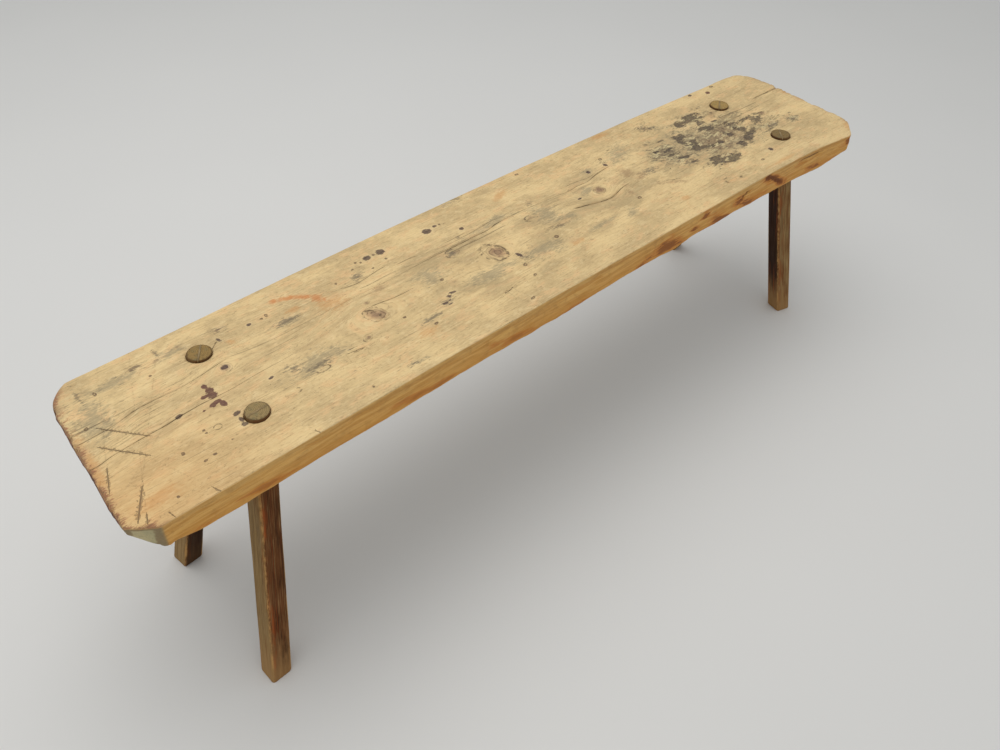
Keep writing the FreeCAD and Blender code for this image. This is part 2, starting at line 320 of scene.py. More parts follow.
RINGS = [
    (-90, -8, 19, 25, 12), (-93, -6, 14, 20, 10), (-354, -8, 12, 16, 24), (-149, 37, 13, 11),
    (-141, 32, 7, 6), (-541, -76, 14, 6, 4), (-480, -62, 12, 5, 4), (-389, -48, 9, 6, 20),
    (-657, -65, 5.5, 5), (-143, -103, 10, 3, 10), (33, 27, 14, 10), (-418, -58, 14, 5, -8),
    (-488, 8, 8, 5, 20), (428, -128, 20, 10, -10), (60, -22, 8, 4),
]
SOOTY = [
    (-311, 90, 15, 12, 20), (-149, 37, 15, 12), (-463, 68, 28, 9), (-514, -34, 15, 12, -30),
    (-555, 118, 12, 9), (-476, -52, 26, 8, 4), (447, 118, 13, 13), (327, -3, 24, 9),
    (62, 68, 12, 10), (-240, -60, 16, 10, 20), (-110, 68, 7, 6), (-60, -50, 9, 18, 10),
    (400, 26, 44, 26), (420, -28, 26, 22, -40), (730, -58, 14, 12), (676, -48, 22, 9),
    (-372, -141, 20, 5, -10), (-280, -76, 24, 5, 4), (228, 71, 8, 8), (276, 74, 7, 12, 20),
    (-652, 133, 4, 14), (-688, 121, 20, 5), (-778, 116, 4, 26), (60, -24, 40, 6, -6),
    (-30, 164, 14, 8),
]
RED_SPOTS = [
    (-632, 19, 4.6, 6), (-630, 7, 7, 7.5), (-643, -1, 5.4, 4.6), (-632, -4, 8.5, 8.6),
    (-641, -23, 6, 4.8, 10), (-632, -20, 6.5, 4.2, -10), (-628, -29, 5, 9, 8),
    (-656, -25, 3.4, 2.2), (682, 134, 7, 6, 30),
]
GREY_SMUDGES = [
    (-478, -44, 62, 26, 4), (-463, 68, 32, 13), (-311, 90, 15, 12, 20), (-512, -34, 20, 12, -30),
    (-40, 58, 80, 9, 2), (-20, -58, 60, 24, -6), (62, 18, 34, 40), (327, -3, 26, 12),
    (731, -59, 15, 13), (671, -51, 30, 9, 6), (-60, 163, 20, 11), (-368, -141, 24, 6, -10),
    (-287, -76, 34, 7, 4), (-149, 37, 17, 12), (85, -12, 32, 12, -14), (460, 108, 20, 12, -30),
    (-450, -98, 14, 4, 12), (-545, 118, 12, 8), (175, 26, 26, 16, 10), (230, 76, 16, 12),
    (320, 80, 60, 26, 30), (-20, 68, 26, 12), (-130, -50, 70, 20), (120, -70, 50, 8),
    (190, -80, 26, 12, 30), (-216, 12, 40, 26), (505, 10, 150, 80), (410, 15, 60, 60),
    (560, -40, 90, 40), (-720, 110, 60, 12), (-640, 118, 30, 14), (-780, 60, 36, 60),
]
ORANGE_SMUDGES = [
    (-449, 124, 9, 9), (-428, 117, 22, 6, -24), (-404, 98, 22, 7, -44), (-310, -97, 28, 20),
    (40, 122, 30, 14, 20), (44, -78, 24, 12), (350, 155, 36, 12), (-780, -128, 50, 20),
    (-380, 60, 40, 30), (423, -132, 22, 9), (820, 24, 12, 16), (-816, -20, 12, 90, -4),
    (-440, 84, 18, 10), (-553, 82, 8, 12, 30), (300, -112, 18, 10), (560, -150, 70, 8),
    (812, -150, 26, 20, 45),
]
BROWN_SMUDGES = [
    (-302, 41, 28, 13), (283, 23, 20, 30), (237, -33, 11, 20), (-556, 118, 10, 7),
    (-690, 121, 26, 5), (-660, 115, 12, 9), (-654, 134, 3, 12), (-622, 122, 10, 3),
    (-589, 35, 11, 12), (196, 12, 17, 17), (300, -5, 30, 12, 20), (447, 116, 15, 14),
    (33, 29, 13, 8, 20), (-84, -12, 20, 24), (-345, -12, 20, 22, -30), (-140, 35, 13, 10),
    (550, -20, 90, 60), (330, -60, 40, 10, -30), (-665, 160, 26, 4), (-808, 110, 10, 30, 20),
    (600, 60, 40, 12, 30),
]
KNOTS = [
    (-86, -12, 18, 24), (-348, -10, 18, 24, 24), (196, 12, 13, 13), (-589, 35, 12, 12),
    (-388, -48, 6, 6), (697, -3, 10, 9), (-341, 22, 6, 4),
]
DENTS = [
    (-542, -76, 13, 5, 10), (-480, -62, 12, 5, 4), (-240, -60, 12, 6, 4), (-512, -34, 12, 8, -40),
    (-418, -60, 16, 5, -8), (-656, -65, 4, 4), (-714, 26, 6, 5), (452, 90, 14, 4, 16),
    (-143, -103, 12, 5, 14),
]
HAIRLINES = [
    (-740, 10, 110, 70, 4), (-120, 60, 120, 28, 2), (640, 40, 110, 22), (150, 20, 90, 50),
    (-520, 30, 120, 30), (-250, 66, 60, 20), (790, 30, 60, 20),
]
SCORCHED = [
    (540, 2, 150, 82), (410, 14, 66, 62), (655, -30, 70, 40), (552, 80, 70, 34), (447, 118, 24, 22),
    (478, -72, 66, 30), (730, -58, 26, 24),
]
# On the front edge: middle along the seat and height, half-lengths and turn.
FRONT_GROOVES = [
    (527, 457, 38, 5.5, -31), (499, 472, 12, 8, -20), (425, 462, 22, 4, 24), (214, 426, 14, 6),
    (640, 468, 60, 3, -4),
]
FRONT_RUST = [
    (-200, 446, 56, 9, -8), (-50, 432, 30, 7), (196, 447, 40, 11, -6), (272, 450, 14, 6),
    (404, 452, 14, 16, 20), (345, 444, 34, 10, -14), (500, 470, 20, 10, -30),
    (527, 457, 42, 9, -31), (435, 440, 40, 6, -10), (-745, 439, 20, 6), (-340, 438, 60, 5),
    (-640, 442, 60, 6), (300, 470, 10, 14), (130, 440, 30, 5, 10), (775, 461, 8, 8),
    (804, 448, 12, 6), (-400, 447, 40, 6, -4), (650, 440, 40, 5, -6),
]


def nearness(x, y, spots):
    """1 at the middle of the nearest spot, 0 at its rim and below 0 outside, down to -3."""
    best = np.full(x.shape, -3.0)
    for middle_x, middle_y, long, wide, *turn in spots:
        angle = math.radians(sum(turn))
        cosine, sine = math.cos(angle), math.sin(angle)
        across, along = x - middle_x, y - middle_y
        distance = np.hypot((across * cosine + along * sine) / long,
                            (along * cosine - across * sine) / wide)
        best = np.maximum(best, 1 - distance)
    return best


def scorched_place(spot):
    """Whether a dark spot belongs to the scorched place."""
    return 385 < spot[0] < 740 and -95 < spot[1] < 125


def split_offset(x, y, line):
    """Distance from a split in half-widths, with its sign, at most 60."""
    curve, table = line
    half_width = np.maximum(0.62 * np.interp(x, table[:, 0], table[:, 2]), 0.02)
    return np.clip((y - curve(x)) / half_width, -60, 60)


def cut_offset(x, y, cuts):
    """Distance from the nearest cut in half-widths, with its sign, at most 60.

    A cut's half-width follows a half circle from end to end, so that it tapers at both.
    """
    best = np.full(x.shape, 60.0)
    for (x0, y0), (x1, y1), half_width in cuts:
        length = math.hypot(x1 - x0, y1 - y0)
        ux, uy = (x1 - x0) / length, (y1 - y0) / length
        along = ((x - x0) * ux + (y - y0) * uy) / length
        across = (y - y0) * ux - (x - x0) * uy
        taper = np.sqrt(np.clip(4 * along * (1 - along), 0, 1))
        offset = np.clip(across / np.maximum(half_width * taper, 0.02), -60, 60)
        best = np.where(np.abs(offset) < np.abs(best), offset, best)
    return best


# ------------------------------------------------------------------ seat

COLUMNS, ROWS, COARSE = 480, 140, 4
NOMINAL = {"front": -167.0, "low_split": -12.0, "high_split": 48.0, "back": 168.0}


def seat_grid():
    """Plan positions of the top grid.

    Columns run from end to end and rows from front to back. A row keeps its share of the way
    between the front edge, the two long splits and the back edge, so two rows lie exactly on
    the splits, and a column keeps its share of the way between the two ends.
    """
    share = crowded(COLUMNS + 1, LEFT_TIP, RIGHT_TIP, [(LEFT_TIP, 5, 3.5), (RIGHT_TIP, 5, 3.5),
                                                       (-770, 70, 1.2), (560, 170, 0.5)])
    share = (share - LEFT_TIP) / (RIGHT_TIP - LEFT_TIP)
    row = crowded(ROWS + 1, NOMINAL["front"], NOMINAL["back"],
                  [(NOMINAL["front"], 5, 2.2), (NOMINAL["back"], 5, 2.2),
                   (NOMINAL["low_split"], 3.5, 1.6), (NOMINAL["high_split"], 3.5, 1.6)])
    for split in ("low_split", "high_split"):
        row[np.argmin(np.abs(row - NOMINAL[split]))] = NOMINAL[split]
    row = np.repeat(row[None, :], COLUMNS + 1, axis=0)
    x = np.repeat(LEFT_TIP + share[:, None] * (RIGHT_TIP - LEFT_TIP), ROWS + 1, axis=1)
    stops = list(NOMINAL.values())
    lines = [FRONT, SPLIT_LINES[1][0], SPLIT_LINES[0][0], BACK]
    for _ in range(6):
        edges = [line(x) for line in lines]
        y = edges[0]
        for k in range(3):
            part = np.clip((row - stops[k]) / (stops[k + 1] - stops[k]), 0, 1)
            y = y + part * (edges[k + 1] - edges[k])
        x = LEFT(y) + share[:, None] * (RIGHT(y) - LEFT(y))
    return x, y


def edge_distance(x, y):
    """Distance in plan to the nearest edge, with the corners where two edges meet eased."""
    gaps = []
    for curve, a, b, sign in ((FRONT, x, y, 1), (BACK, x, y, -1), (LEFT, y, x, 1), (RIGHT, y, x, -1)):
        slope = (curve(a + 1) - curve(a - 1)) / 2
        gaps.append(sign * (b - curve(a)) / np.sqrt(1 + slope ** 2))
    ease = 1.3
    return np.maximum(-ease * np.log(sum(np.exp(-gap / ease) for gap in gaps)), 0)


def edge_round(x, y):
    """Radius of the worn top edge: uneven, and largest along the left end."""
    radius = 2.4 + 0.8 * rough(11, x / 40, y / 40)
    left = soft_step(-x, 806, 826) * soft_step(y, -143, -120)
    radius = radius + 4.6 * left * (1 + 0.8 * rough(12, x / 14, y / 14))
    return np.clip(radius + 5 * end_chips(x, y), 1.4, 11)


def end_chips(x, y):
    """Where the two ends are chipped: 1 in the high parts of small lumps, near an end only."""
    chips = soft_step(rough(13, x / 9, y / 7), 0.22, 0.5)
    left = soft_step(-x, 804, 818) * soft_step(y, -140, -120)
    return chips * (left + 0.35 * soft_step(x, 808, 822))


def top_height(x, y):
    """Height of the seat's top: a level plane, worn, dipped, ridged along the grain and cut."""
    z = TOP - 0.5 + 0.45 * rough(21, x / 160, y / 70) + 0.16 * lumps(22, x / 90, y / 7)
    z = z - 11 * soft_step(x, 560, 830) ** 1.5 * soft_step(-y, 60, 180)
    for line in SPLIT_LINES[:2]:
        offset = np.abs(split_offset(x, y, line))
        width = np.interp(x, line[1][:, 0], line[1][:, 2])
        z = z - 1.3 * np.minimum(width, 1.2) * soft_step(-offset, -2.8, 0)
        z = z - 0.3 * soft_step(width, 0.3, 1.0) * np.exp(-(offset * width / 6) ** 2)
    z = z - 2.2 * end_chips(x, y) * np.exp(-edge_distance(x, y) / 7)
    for group in CUTS:
        z = z - soft_step(-np.abs(cut_offset(x, y, group)), -1.9, 0)
    scorched = soft_step(nearness(x, y, SCORCHED), 0, 0.5)
    pits = soft_step(rough(23, x / 13, y / 7), 0.1, 0.55)
    z = z - scorched * (0.75 * pits + 0.25 * rough(24, x / 30, y / 20))
    z = z - 0.8 * soft_step(nearness(x, y, DENTS), -0.1, 0.8)
    for spots, depth in ((DARK_SPOTS, 0.3), (KNOTS, -0.35)):
        z = z - depth * soft_step(nearness(x, y, spots), -0.2, 0.5)
    for leg in LEGS.values():
        away = np.hypot(x - leg["top"][0], y - leg["top"][1]) - leg["tenon"] / 2
        z = z - 0.7 * np.exp(-(np.maximum(away, 0) / 5) ** 2)
    return z


def make_seat():
    """The plank: a fine top, a wall of rings round its outline and a coarser underside."""
    x, y = seat_grid()
    distance, radius = edge_distance(x, y), edge_round(x, y)
    inside = np.clip(radius - distance, 0, None)
    z = top_height(x, y) - radius + np.sqrt(np.maximum(radius ** 2 - inside ** 2, 0))
    top = np.stack([x, y, z], -1)
    number = np.arange(x.size).reshape(x.shape)

    def border(grid):
        return np.concatenate([grid[:-1, 0], grid[-1, :-1], grid[:0:-1, -1], grid[0, :0:-1]])

    loop = border(number)
    points = top.reshape(-1, 3)
    rim = points[loop]
    tangent = np.roll(rim, -2, axis=0) - np.roll(rim, 2, axis=0)
    outward = np.stack([tangent[:, 1], -tangent[:, 0]], -1)
    outward /= np.linalg.norm(outward, axis=1, keepdims=True)
    rim_x, rim_y = rim[:, 0], rim[:, 1]
    facing = {"front": soft_step(-outward[:, 1], 0.3, 0.8), "left": soft_step(-outward[:, 0], 0.5, 0.9),
              "right": soft_step(outward[:, 0], 0.5, 0.9)}
    wave = 431 + 2.5 * rough(31, rim_x / 70, rim_y / 50)
    low = wave + facing["front"] * (FRONT_LOW(rim_x) - wave)
    low = low + facing["left"] * (LEFT_LOW(rim_y) - low)
    corner = soft_step(-(rim_x + rim_y), 956, 964)
    low_round = (5 + 2 * rough(32, rim_x / 30, rim_y / 30)) * (1 - 0.75 * corner)

    def wall(height, run):
        """How far the wall stands out at a height: lean at the ends, lumps, saw and bark marks."""
        depth = rim[:, 2] - height
        out = -math.tan(math.radians(10)) * depth * facing["left"]
        out = out - 0.05 * depth * facing["right"]
        fade = soft_step(depth, 0, 8) * (1 - 0.8 * corner)
        out = out + fade * (1.1 * rough(33, rim_x / 60, (height + rim_y) / 18))
        out = out + fade * 0.35 * lumps(34, rim_x / 34, height / 4.5 + rim_y / 20)
        hollow = soft_step(rough(35, rim_x / 55, height / 26), 0.1, 0.7)
        out = out - fade * facing["front"] * 1.8 * hollow * soft_step(-run, -0.8, -0.3)
        groove = nearness(rim_x, height, FRONT_GROOVES)
        return out - 3.4 * facing["front"] * soft_step(groove, 0, 0.6)

    # Rings at shares of the way down the wall, then round the lower edge at turns in degrees.
    walls = []
    for share in (0.03, 0.1, 0.2, 0.31, 0.43, 0.55, 0.67, 0.78, 0.88, 0.95):
        height = rim[:, 2] + (low + low_round - rim[:, 2]) * share
        walls.append((wall(height, share), height))
    for angle in map(math.radians, (8, 28, 50, 72, 90)):
        out = wall(low + low_round, 1) - low_round * (1 - math.cos(angle))
        walls.append((out, low + low_round * (1 - math.sin(angle))))
    rings = [loop]
    layers = [points]
    count = len(points)
    for out, height in walls:
        layers.append(np.stack([rim_x + outward[:, 0] * out, rim_y + outward[:, 1] * out, height], -1))
        rings.append(np.arange(count, count + len(loop)))
        count += len(loop)

    inset_x, inset_y = 1 - 27 / 830, 1 - 25 / 168
    under_x, under_y = x[::COARSE, ::COARSE] * inset_x, y[::COARSE, ::COARSE] * inset_y
    under_z = UNDER + 1.2 * rough(36, under_x / 90, under_y / 40)
    front_share = np.exp(-np.maximum(under_y - FRONT(under_x), 0) / 40)
    under_z = under_z + front_share * (FRONT_LOW(under_x) - UNDER)
    left_share = np.exp(-np.maximum(under_x - LEFT(under_y), 0) / 45)
    under_z = under_z + left_share * (1 - front_share) * (LEFT_LOW(under_y) - UNDER)
    layers.append(np.stack([under_x, under_y, under_z], -1).reshape(-1, 3))
    under = count + np.arange(under_x.size).reshape(under_x.shape)

    # The fine border meets the coarse one with COARSE + 1 triangles for each coarse side.
    fine, coarse = rings[-1].reshape(-1, COARSE), border(under)
    fine_next, coarse_next = np.roll(fine[:, 0], -1), np.roll(coarse, -1)
    strip = [(fine[:, 0], fine[:, 1], coarse), (fine[:, 1], fine[:, 2], coarse),
             (fine[:, 2], coarse_next, coarse), (fine[:, 2], fine[:, 3], coarse_next),
             (fine[:, 3], fine_next, coarse_next)]
    triangles = np.concatenate([np.stack([a, c, b], -1) for a, b, c in strip])
    faces = [grid_faces(number), ring_faces(np.array(rings)), triangles, grid_faces(under)[:, ::-1]]
    seat = make_piece("seat", np.concatenate(layers), faces)
    cut(seat, [bore_cutter(name) for name in LEGS])
    smooth(seat)
    return seat


def axis_at(leg, height):
    """Plan position of a leg's axis at a height."""
    share = np.asarray(height) / TOP
    return [leg["foot"][k] + (leg["top"][k] - leg["foot"][k]) * share for k in (0, 1)]


def lean_stretch(leg, angle):
    """Level cuts through a leaning round tenon are longer along the lean: 1 over its cosine."""
    run = np.array(leg["top"]) - np.array(leg["foot"])
    lean = math.atan(np.hypot(*run) / TOP)
    along = np.cos(angle - math.atan2(run[1], run[0]))
    return 1 / np.sqrt(1 - (along * math.sin(lean)) ** 2)


def bore_cutter(name):
    """A leaning rod for a bore: the tenon's size and an uneven gap, widest on the -x side."""
    leg = LEGS[name]
    angle = np.linspace(0, 2 * np.pi, 96, endpoint=False)
    wide = soft_step(np.cos(angle - math.radians(200)), -0.2, 1)
    uneven = 0.25 * lumps(sum(map(ord, name)), 3 * np.cos(angle), 3 * np.sin(angle))
    radius = (leg["tenon"] / 2 + (0.25 + leg["gap"] * wide + uneven)) * lean_stretch(leg, angle)
    rings = []
    tips = []
    for height in (TOP + 20, TOP - 12, UNDER - 40):
        middle = axis_at(leg, height)
        rings.append(np.stack([middle[0] + radius * np.cos(angle), middle[1] + radius * np.sin(angle),
                               np.full(len(angle), height)], -1))
        tips.append([[*middle, height]])
    return make_tube("bore_" + name, rings, [tips[0], tips[-1]])


def seat_fields(seat):
    """Give the seat the fields that its finish reads: where its splits, cuts and stains are."""
    points, normals = layout_of(seat)
    x, y, z = points.T
    top = soft_step(z, TOP - 20, TOP - 16) * soft_step(normals[:, 2], 0.35, 0.7)
    keep_field(seat, "splits", *[split_offset(x, y, line) for line in SPLIT_LINES])
    keep_field(seat, "cuts", *[cut_offset(x, y, group) for group in CUTS])
    burnt = [spot for spot in DARK_SPOTS if scorched_place(spot)]
    flecks = [spot for spot in DARK_SPOTS if max(spot[2:4]) < 5.2 and not scorched_place(spot)]
    plain = [spot for spot in DARK_SPOTS if spot not in burnt and spot not in flecks]
    for name, tables in (("spots", (plain, RED_SPOTS, KNOTS, SCORCHED)),
                         ("marks", (flecks, burnt, HAIRLINES, SOOTY))):
        keep_field(seat, name, *[nearness(x, y, table) for table in tables])
    keep_field(seat, "smudges", nearness(x, y, GREY_SMUDGES), nearness(x, y, ORANGE_SMUDGES),
               nearness(x, y, BROWN_SMUDGES), edge_distance(x, y))
    clip = soft_step(-(x + 0.95 * y), 955, 959) * soft_step(-x, 785, 796) * (1 - top)
    end = soft_step(np.abs(normals[:, 0]), 0.4, 0.8) * (1 - clip)
    keep_field(seat, "sides", top, end, clip)

    # The grain follows the two long splits and bends round the large knots.
    bend, reach = y, 34
    for (curve, _), nominal in zip(SPLIT_LINES, (NOMINAL["high_split"], NOMINAL["low_split"])):
        middle = curve(x)
        bend = bend - (middle - nominal) * np.exp(-((y - middle) / reach) ** 2)
    for middle_x, middle_y, _, wide, *_ in KNOTS[:4]:
        square = ((x - middle_x) / 1.6) ** 2 + (y - middle_y) ** 2
        limit = (0.75 * wide) ** 2
        bend = bend - (y - middle_y) * limit / np.maximum(square, limit)
    keep_field(seat, "grain", x, bend, z, nearness(x, y, RINGS))
    keep_field(seat, "front", nearness(x, z, FRONT_RUST), nearness(x, z, FRONT_GROOVES),
               nearness(x, y, RESIN), soft_step(-normals[:, 2], 0.4, 0.8))


# ------------------------------------------------------------------ legs and wedges

SECTION = 96


def hewn_radius(angle, height, seed):
    """Radius of a hewn square section: eight flats joined by a smooth minimum.

    Four flats are the faces, which wander a little from foot to neck, and four take off the
    corners. The radius is the sum of (cosine over distance) to the 26th power, to the -1/26.
    """
    side = 38.5 - height / UNDER
    total = 0
    for k in range(8):
        facing = k * np.pi / 4
        if k % 2:
            flat = (side - 3.2 + 1.2 * lumps(seed + k, height / 95)) / math.sqrt(2)
        else:
            flat = (side / 2 + 0.55 * lumps(seed + k, height / 70)
                    + 0.25 * lumps(seed + 20 + k, height / 21))
        twist = 0.03 * lumps(seed + 40 + k, height / 160)
        total = total + (np.maximum(np.cos(angle - facing - twist), 0) / flat) ** 26
    return total ** (-1 / 26)


def make_leg(name, number):
    """A leg: level rings from a flat foot up the hewn shaft, then the round tenon to its end.

    The rings' points lie at equal angles. Fibre ridges run along the shaft, and both ends
    close with rings that shrink to a middle point.
    """
    leg = LEGS[name]
    seed = 100 + 60 * number
    angle = np.linspace(0, 2 * np.pi, SECTION, endpoint=False)
    neck = UNDER - 1.0
    shaft = np.concatenate([[0.0, 0.5, 1.4, 2.8, 5], np.linspace(8, neck - 6, 150), [neck - 3, neck]])
    tenon = np.concatenate([[UNDER, UNDER + 2], np.linspace(UNDER + 6, PROUD - 3.5, 12),
                            [PROUD - 2.2, PROUD - 1.3, PROUD - 0.7]])
    turn = math.radians(leg["turn"])
    rings = []
    for part, heights in (("shaft", shaft), ("tenon", tenon)):
        theta, height = np.meshgrid(angle, heights)
        if part == "shaft":
            radius = hewn_radius(theta, height, seed)
            ridges = 0.16 * lumps(seed + 51, 22 * np.cos(theta) + 30, 22 * np.sin(theta) + 30,
                                  height / 70)
            worn = 1.2 * (1 - soft_step(height, 0, 4)) ** 2
            radius = radius + ridges - worn
            drift = 0.5 * lumps(seed + 52, height / 60)
            checks = soft_step(-np.abs(np.sin(2 * theta + drift)), -0.05, 0)
            radius = radius - 0.5 * checks * soft_step(lumps(seed + 53, height / 80), 0.0, 0.5)
        else:
            proud = 0.8 * (1 - np.sqrt(np.clip((PROUD - height) / 2.2, 0, 1)))
            radius = (leg["tenon"] / 2 - proud) * lean_stretch(leg, theta)
            radius = radius + 0.3 * lumps(seed + 54, 1.5 * np.cos(theta) + 9, 1.5 * np.sin(theta) + 9)
        middle_x, middle_y = axis_at(leg, height)
        facing = theta + turn
        rings.append(np.stack([middle_x + radius * np.cos(facing), middle_y + radius * np.sin(facing),
                               height], -1))
    body = np.concatenate(rings)

    def end_rings(ring, shares, rise):
        """Rings that shrink towards a middle point, and the point itself."""
        middle = ring.mean(axis=0)
        inner = np.stack([middle + (ring - middle) * share for share in shares])
        away = np.array(shares)[:, None]
        inner[..., 2] = ring[0, 2] + rise(away, inner[..., 0], inner[..., 1])
        tip = middle.copy()
        tip[2] = ring[0, 2] + float(rise(0.0, middle[0], middle[1]))
        return inner, tip

    def dished(away, x, y):
        uneven = 0.22 * rough(seed + 55, x / 9, y / 9) * (1 - away ** 6)
        return 0.7 - 0.33 * (1 - away ** 2) + uneven

    def level(away, x, y):
        return 0.0 * x

    shares = [0.975, 0.93, 0.87, 0.8, 0.72, 0.63, 0.54, 0.45, 0.36, 0.27, 0.18, 0.09]
    foot, foot_tip = end_rings(body[0], shares[1::3], level)
    head, head_tip = end_rings(body[-1], shares, dished)
    rings = [*head[::-1], *body[::-1], *foot]
    piece = make_tube("leg_" + name + "_hewn", rings, [head_tip[None], foot_tip[None]])
    cut(piece, [kerf_cutter(name)])
    smooth(piece)
    leg_fields(piece, leg)
    return piece


def slab(name, label, low, high, widths, length, top_wear):
    """A tapered slab on a leg's axis: level rings whose outline is a rounded rectangle.

    The outline is the curve where (|u| / half length)^p + (|v| / half width)^p = 1, p = 8.
    """
    leg = LEGS[name]
    count = 64
    angle = np.linspace(0, 2 * np.pi, count, endpoint=False)
    turn = math.radians(leg["wedge"])
    heights = np.linspace(high, low, 14)
    rings = []
    for height in heights:
        width = np.interp(height, [low, high], widths)
        u = length / 2 * np.sign(np.cos(angle)) * np.abs(np.cos(angle)) ** 0.25
        v = width / 2 * np.sign(np.sin(angle)) * np.abs(np.sin(angle)) ** 0.25
        middle = axis_at(leg, height)
        worn = top_wear * (height == high) * lumps(7, u / 6)
        rings.append(np.stack([middle[0] + u * math.cos(turn) - v * math.sin(turn),
                               middle[1] + u * math.sin(turn) + v * math.cos(turn),
                               np.full(count, height) + worn], -1))
    tips = [ring.mean(axis=0)[None] for ring in (rings[0], rings[-1])]
    return make_tube(label + name, rings, tips)


def kerf_cutter(name):
    """The saw kerf that the wedge spreads."""
    return slab(name, "kerf_", PROUD - 42, PROUD + 8, (1.2, 3.4), 2 * LEGS[name]["tenon"], 0)


def make_wedge(name):
    """The wedge, driven in and cut off level with the tenon's end."""
    wedge = slab(name, "wedge_piece_", PROUD - 41, PROUD + 0.15, (1.15, 2.95),
                 LEGS[name]["tenon"] - 1.8, 0.15)
    smooth(wedge)
    points, _ = layout_of(wedge)
    keep_field(wedge, "grain", *leg_axes(LEGS[name], points))
    return wedge


def leg_axes(leg, points):
    """Two distances across a leg and the height, which follow its lean and turn."""
    middle_x, middle_y = axis_at(leg, points[:, 2])
    turn = math.radians(leg["turn"])
    away_x, away_y = points[:, 0] - middle_x, points[:, 1] - middle_y
    return (away_x * math.cos(turn) + away_y * math.sin(turn),
            away_y * math.cos(turn) - away_x * math.sin(turn), points[:, 2])


def leg_fields(piece, leg):
    """Give a leg the fields that its finish reads: grain, how dark each face is from weathering and
    painted shade, arris, ends, and where the tenon is in the seat for its painted shade.
    """
    points, normals = layout_of(piece)
    across, over, height = leg_axes(leg, points)
    keep_field(piece, "grain", across, over, height)
    facing = np.arctan2(over, across)
    weights = [np.clip(np.cos(facing - k * np.pi / 2), 0, 1) ** 6 for k in (2, 3, 0, 1)]
    # How dark each face is: partly weathering, partly painted shade on faces in shadow.
    age_and_shade = sum(w * a for w, a in zip(weights, leg["age_and_shade"])) / sum(weights)
    square = np.maximum(np.abs(across), np.abs(over)) / np.maximum(np.hypot(across, over), 0.1)
    arris = soft_step(-square, -0.80, -0.72) * (height < UNDER)
    end = soft_step(np.abs(normals[:, 2]), 0.6, 0.9)
    keep_field(piece, "age_and_shade", age_and_shade, arris, end * (height > TOP - 5), end * (height < 4))
    radius = np.hypot(across, over) / (leg["tenon"] / 2)
    # Where the tenon is inside the seat: its side gets painted shade, seen down the gap.
    keep_field(piece, "tenon", radius, height > UNDER + 1, height / TOP)


# ------------------------------------------------------------------ finishes

def shade(red, green, blue):
    """A colour from its 0 to 255 screen values, as the shader's linear light."""
    values = np.array([red, green, blue]) / 255
    linear = np.where(values <= 0.04045, values / 12.92, ((values + 0.055) / 1.055) ** 2.4)
    return (*[float(value) for value in linear], 1.0)


class Finish:
    """A node material being built. Each method adds nodes and gives back an output."""

    def __init__(self, name):
        self.material = bpy.data.materials.new(name)
        self.material.use_nodes = True
        self.tree = self.material.node_tree
        self.tree.nodes.clear()
        self.base = None

    def node(self, kind, inputs, **settings):
        node = self.tree.nodes.new("ShaderNode" + kind)
        for key, value in settings.items():
            setattr(node, key, value)
        for key, value in inputs.items():
            if isinstance(value, bpy.types.NodeSocket):
                self.tree.links.new(value, node.inputs[key])
            else:
                node.inputs[key].default_value = value
        return node

    def math(self, operation, *values):
        return self.node("Math", dict(enumerate(values)), operation=operation).outputs[0]

    def add(self, a, b):
        return self.math("ADD", a, b)

    def times(self, a, b):
        return self.math("MULTIPLY", a, b)

    def less(self, a, b):
        return self.math("SUBTRACT", a, b)

    def most(self, *values):
        total = values[0]
        for value in values[1:]:
            total = self.math("MAXIMUM", total, value)
        return total

    def least(self, *values):
        total = values[0]
        for value in values[1:]:
            total = self.math("MINIMUM", total, value)
        return total

    def step(self, value, low, high, start=0.0, end=1.0):
        """Start up to low, end from high on, and a cubic step between."""
        return self.node("MapRange", {"Value": value, "From Min": low, "From Max": high,
                                      "To Min": start, "To Max": end},
                         interpolation_type="SMOOTHSTEP").outputs[0]

    def colour(self, amount, a, b):
        """Colour a with b mixed over it."""
        return self.node("Mix", {0: amount, 6: a, 7: b}, data_type="RGBA").outputs[2]

    def tint(self, base, amount, *screen):
        """A colour with one given by its screen values mixed over it."""
        return self.colour(amount, base, shade(*screen))

    def over(self, amount, *screen):
        """Mix a colour over the surface's own: three screen values or one output."""
        top = shade(*screen) if len(screen) == 3 else screen[0]
        self.base = self.colour(amount, self.base, top)

    def off(self, noise, amount):
        """A noise turned into a shift of up to about half the amount either way."""
        return self.times(self.less(noise, 0.5), amount)

    def position(self):
        """The three numbers of the stored position, in millimetres."""
        return self.node("SeparateXYZ", {0: self.place("grain", (1, 1, 1))}).outputs

    def grained(self, *sizes, **settings):
        """A noise in the stored position, with lumps of about these sizes in millimetres."""
        return self.noise(self.place("grain", [1 / size for size in sizes]), **settings)

    def field(self, name):
        """The four numbers of a stored field."""
        source = self.node("Attribute", {}, attribute_name=name)
        split = self.node("SeparateColor", {"Color": source.outputs["Color"]})
        return [*split.outputs[:3], source.outputs["Alpha"]]

    def place(self, name, scale):
        """A stored position, multiplied axis by axis."""
        source = self.node("Attribute", {}, attribute_name=name)
        return self.node("VectorMath", {0: source.outputs["Vector"], 1: scale},
                         operation="MULTIPLY").outputs[0]

    def noise(self, where, scale=1.0, detail=2.0, coarse=0.5, distortion=0.0):
        return self.node("TexNoise", {"Vector": where, "Scale": scale, "Detail": detail,
                                      "Roughness": coarse, "Distortion": distortion}).outputs[0]

    def finish(self, colour, roughness, bumps, sockets=None):
        """The surface itself, with bumps given as (height, distance in metres) in order."""
        normal = None
        for height, distance in bumps:
            inputs = {"Height": height, "Distance": distance, "Strength": 1.0}
            if normal is not None:
                inputs["Normal"] = normal
            normal = self.node("Bump", inputs).outputs[0]
        inputs = {"Base Color": colour, "Roughness": roughness, "Normal": normal}
        inputs.update(sockets or {})
        shader = self.node("BsdfPrincipled", inputs)
        output = self.node("OutputMaterial", {"Surface": shader.outputs[0]})
        output.is_active_output = True
        return self.material


